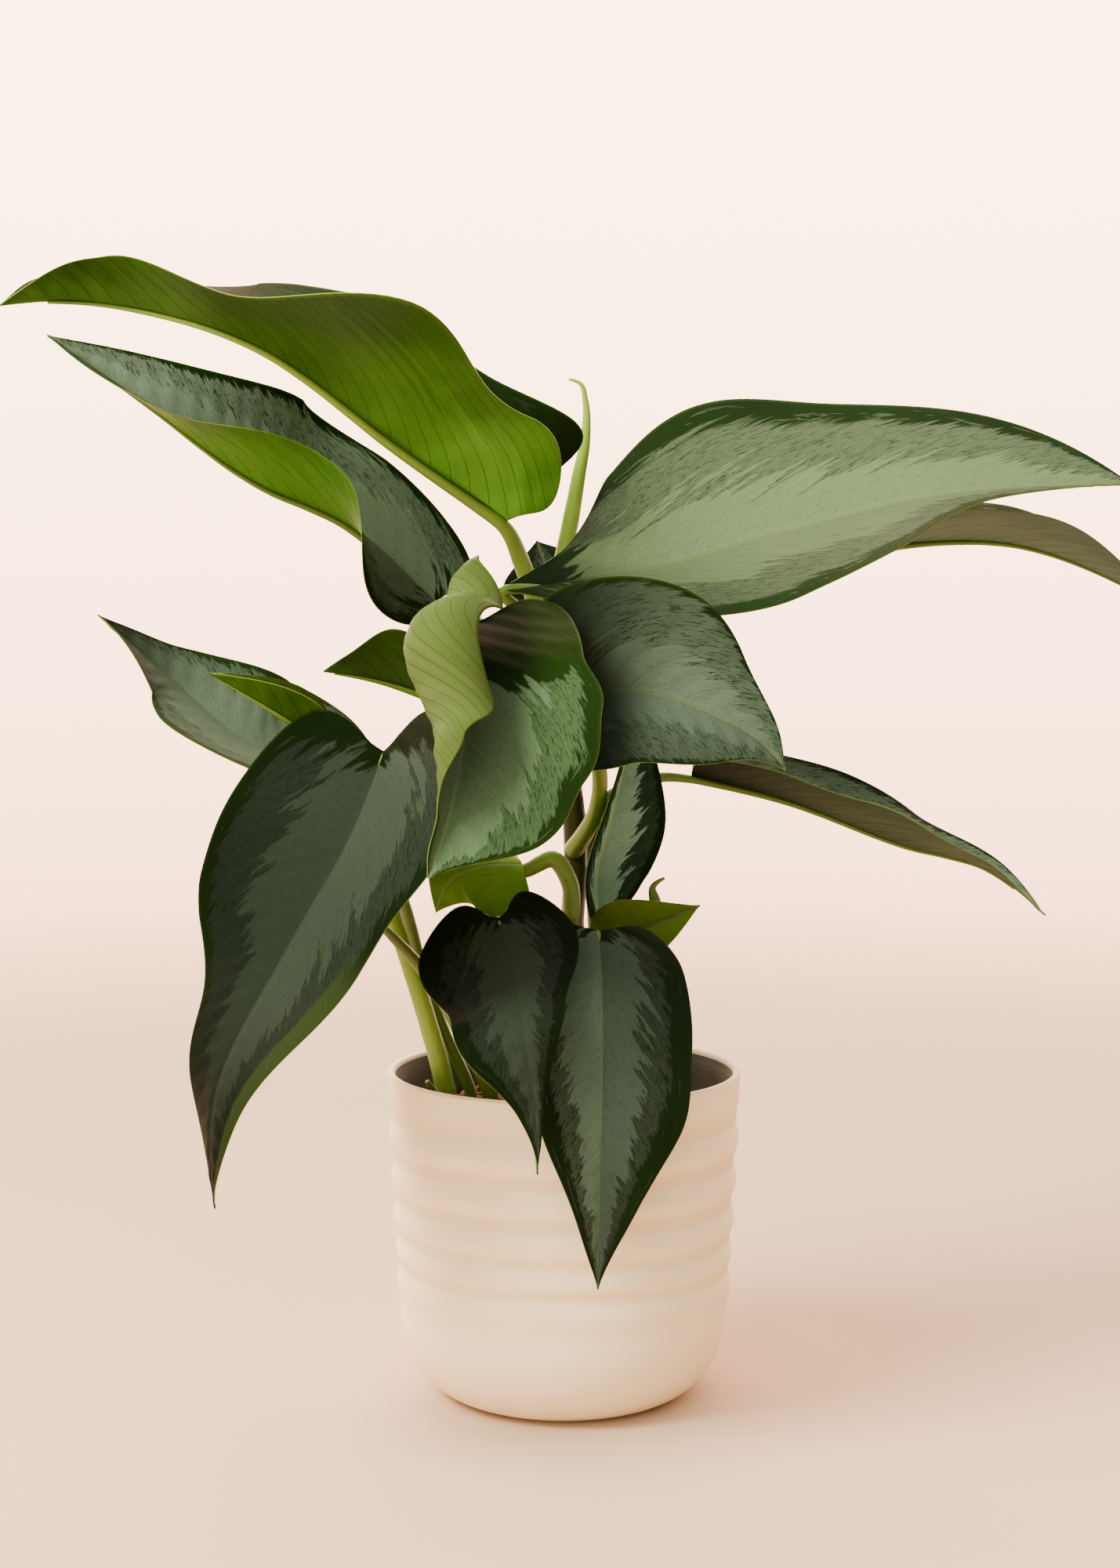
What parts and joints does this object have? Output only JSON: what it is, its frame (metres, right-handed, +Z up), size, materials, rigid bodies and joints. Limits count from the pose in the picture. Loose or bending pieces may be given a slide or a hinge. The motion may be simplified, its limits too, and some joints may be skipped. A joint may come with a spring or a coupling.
{
  "type": "potted chinese evergreen",
  "caption": "Leafy house plant with silver marked pointed leaves on long stalks, growing from soil in a round ceramic pot with soft ripples.",
  "frame": {"origin": "centre of the pot's flat foot, on the surface that it stands on", "axes": "+Z up along the pot's axis; the side seen first looks along +Y, with +X to the right"},
  "size_m": [0.4973, 0.2401, 0.4671],
  "materials": {
    "ceramic": "matte",
    "soil": "matte",
    "stem": "satin",
    "leaf": "satin"
  },
  "bodies": {
    "root": {"pot": "ceramic", "soil": "soil", "cane_main": "stem", "cane_left": "stem", "cane_rear": "stem", "young_shoot": "stem", "base_bud": "stem", "leaf_spear": "stem", "leaf_rolled_right": "stem", "leaf_top_left": "leaf", "leaf_second_left": "leaf", "leaf_big_right": "leaf", "leaf_far_right": "leaf", "leaf_low_right": "leaf", "leaf_centre_right": "leaf", "leaf_crown_front": "leaf", "leaf_front_left": "leaf", "leaf_mid_left": "leaf", "leaf_young_left": "leaf", "leaf_rear_left": "leaf", "leaf_rear": "leaf", "leaf_upright": "leaf", "leaf_small_right": "leaf", "leaf_front_centre": "leaf", "leaf_front_right": "leaf", "leaf_inner_arched": "leaf"}
  },
  "joints": []
}
